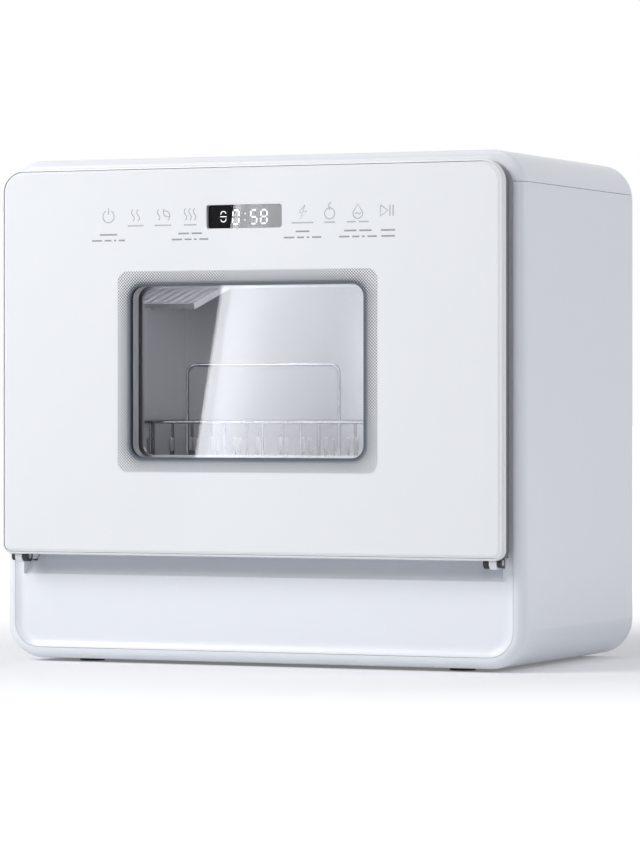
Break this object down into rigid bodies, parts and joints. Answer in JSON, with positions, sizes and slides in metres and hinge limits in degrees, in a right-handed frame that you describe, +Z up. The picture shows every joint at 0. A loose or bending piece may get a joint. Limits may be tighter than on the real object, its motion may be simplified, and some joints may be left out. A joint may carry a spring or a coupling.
{
  "type": "countertop dishwasher",
  "caption": "Compact countertop dishwasher with a glass drop-down door, pull-out wire basket, spray arm, pumps and side water tank.",
  "frame": {"origin": "on the ground under the middle of the machine's outline, between door front and rear flange", "axes": "+X to the user's right, +Y towards the back, +Z up; the door faces -Y"},
  "size_m": [0.484, 0.293, 0.435],
  "materials": {
    "casing_white": "smooth semi-gloss moulded plastic",
    "glass_white": "back-painted white glass, clear in the window",
    "core_grey": "satin dark grey plastic",
    "seal_rubber": "matte",
    "tub_steel": "brushed stainless sheet",
    "wire_steel": "polished wire",
    "bright_steel": "plated",
    "light_grey": "satin grey plastic",
    "black_plastic": "satin black plastic",
    "hose_rubber": "matte",
    "tank_plastic": "translucent milky plastic",
    "roller_white": "satin",
    "clear_glass": "clear",
    "board_green": "solder mask"
  },
  "bodies": {
    "cabinet": {"side_shell": "casing_white", "top_cover": "casing_white", "front_bezel": "casing_white", "back_panel": "casing_white", "base_tray": "light_grey", "feet": "black_plastic", "rear_screws": "bright_steel", "tub_wrap": "tub_steel", "tub_rear": "tub_steel", "tub_base": "tub_steel", "tub_seal": "seal_rubber", "rails": "light_grey", "cup_shelf": "light_grey", "hinge_brackets": "black_plastic", "latch_receiver": "core_grey", "sump": "light_grey", "filter_plate": "tub_steel", "spray_hub": "light_grey", "wash_pump": "core_grey", "heater_ring": "tub_steel", "short_hoses": "hose_rubber", "drain_pump": "core_grey", "drain_hose": "hose_rubber", "drain_spigot": "core_grey", "inlet_valve": "core_grey", "fill_hose": "hose_rubber", "water_tank": "tank_plastic", "filler_pin": "bright_steel", "blower_housing": "core_grey", "blower_motor": "bright_steel", "power_board": "board_green", "float_switch": "light_grey", "cord_gland": "black_plastic"},
    "door": {"door_trim": "casing_white", "door_glass": "glass_white", "door_core": "core_grey", "window_frame": "light_grey", "inner_pane": "clear_glass", "pane_gasket": "seal_rubber", "inner_liner": "tub_steel", "liner_screws": "bright_steel", "display_module": "black_plastic", "touch_board": "board_green", "latch_hook": "light_grey", "hinge_clevises": "black_plastic", "hinge_pins": "bright_steel"},
    "basket": {"basket_front_panel": "wire_steel", "basket_side_panels": "wire_steel", "basket_floor_grid": "wire_steel", "tine_rack": "wire_steel", "cutlery_holder": "light_grey", "roller_brackets": "light_grey"},
    "roller_front_left": {"roller_front_left": "roller_white"},
    "roller_front_right": {"roller_front_right": "roller_white"},
    "roller_rear_left": {"roller_rear_left": "roller_white"},
    "roller_rear_right": {"roller_rear_right": "roller_white"},
    "spray_arm": {"spray_arm": "light_grey"},
    "blower_impeller": {"blower_impeller": "black_plastic"},
    "filter_cup": {"filter_cup": "light_grey"},
    "filler_lid": {"filler_lid": "casing_white"}
  },
  "joints": [
    {"name": "door_hinge", "type": "hinge", "parent": "cabinet", "child": "door", "pos_m": [0, -0.1335, 0.092], "axis": [1, 0, 0], "range_deg": [0, 90]},
    {"name": "basket_slide", "type": "slide", "parent": "cabinet", "child": "basket", "axis": [0, -1, 0], "range_m": [0, 0.0786]},
    {"name": "spray_spin", "type": "hinge", "parent": "cabinet", "child": "spray_arm", "pos_m": [0.014, -0.0045, 0.113], "axis": [0, 0, 1], "continuous": true},
    {"name": "blower_spin", "type": "hinge", "parent": "cabinet", "child": "blower_impeller", "pos_m": [0.116, -0.0045, 0.41], "axis": [0, 0, 1], "continuous": true},
    {"name": "filter_twist", "type": "hinge", "parent": "cabinet", "child": "filter_cup", "pos_m": [0.112, -0.0045, 0.104], "axis": [0, 0, 1], "range_deg": [0, 60]},
    {"name": "filler_hinge", "type": "hinge", "parent": "cabinet", "child": "filler_lid", "pos_m": [-0.192, 0.0477, 0.4332], "axis": [-1, 0, 0], "range_deg": [0, 80]},
    {"name": "roller_front_left_spin", "type": "hinge", "parent": "basket", "child": "roller_front_left", "pos_m": [-0.1684, -0.0225, 0.1299], "axis": [1, 0, 0], "range_deg": [0, 505]},
    {"name": "roller_front_right_spin", "type": "hinge", "parent": "basket", "child": "roller_front_right", "pos_m": [0.1964, -0.0225, 0.1299], "axis": [1, 0, 0], "range_deg": [0, 505]},
    {"name": "roller_rear_left_spin", "type": "hinge", "parent": "basket", "child": "roller_rear_left", "pos_m": [-0.1684, 0.0675, 0.1299], "axis": [1, 0, 0], "range_deg": [0, 505]},
    {"name": "roller_rear_right_spin", "type": "hinge", "parent": "basket", "child": "roller_rear_right", "pos_m": [0.1964, 0.0675, 0.1299], "axis": [1, 0, 0], "range_deg": [0, 505]}
  ],
  "couplings": [
    {"joint": "basket_slide", "follows": "door_hinge", "m_per_rad": 0.05},
    {"joint": "roller_front_left_spin", "follows": "door_hinge", "ratio": 5.5556},
    {"joint": "roller_front_right_spin", "follows": "door_hinge", "ratio": 5.5556},
    {"joint": "roller_rear_left_spin", "follows": "door_hinge", "ratio": 5.5556},
    {"joint": "roller_rear_right_spin", "follows": "door_hinge", "ratio": 5.5556}
  ]
}
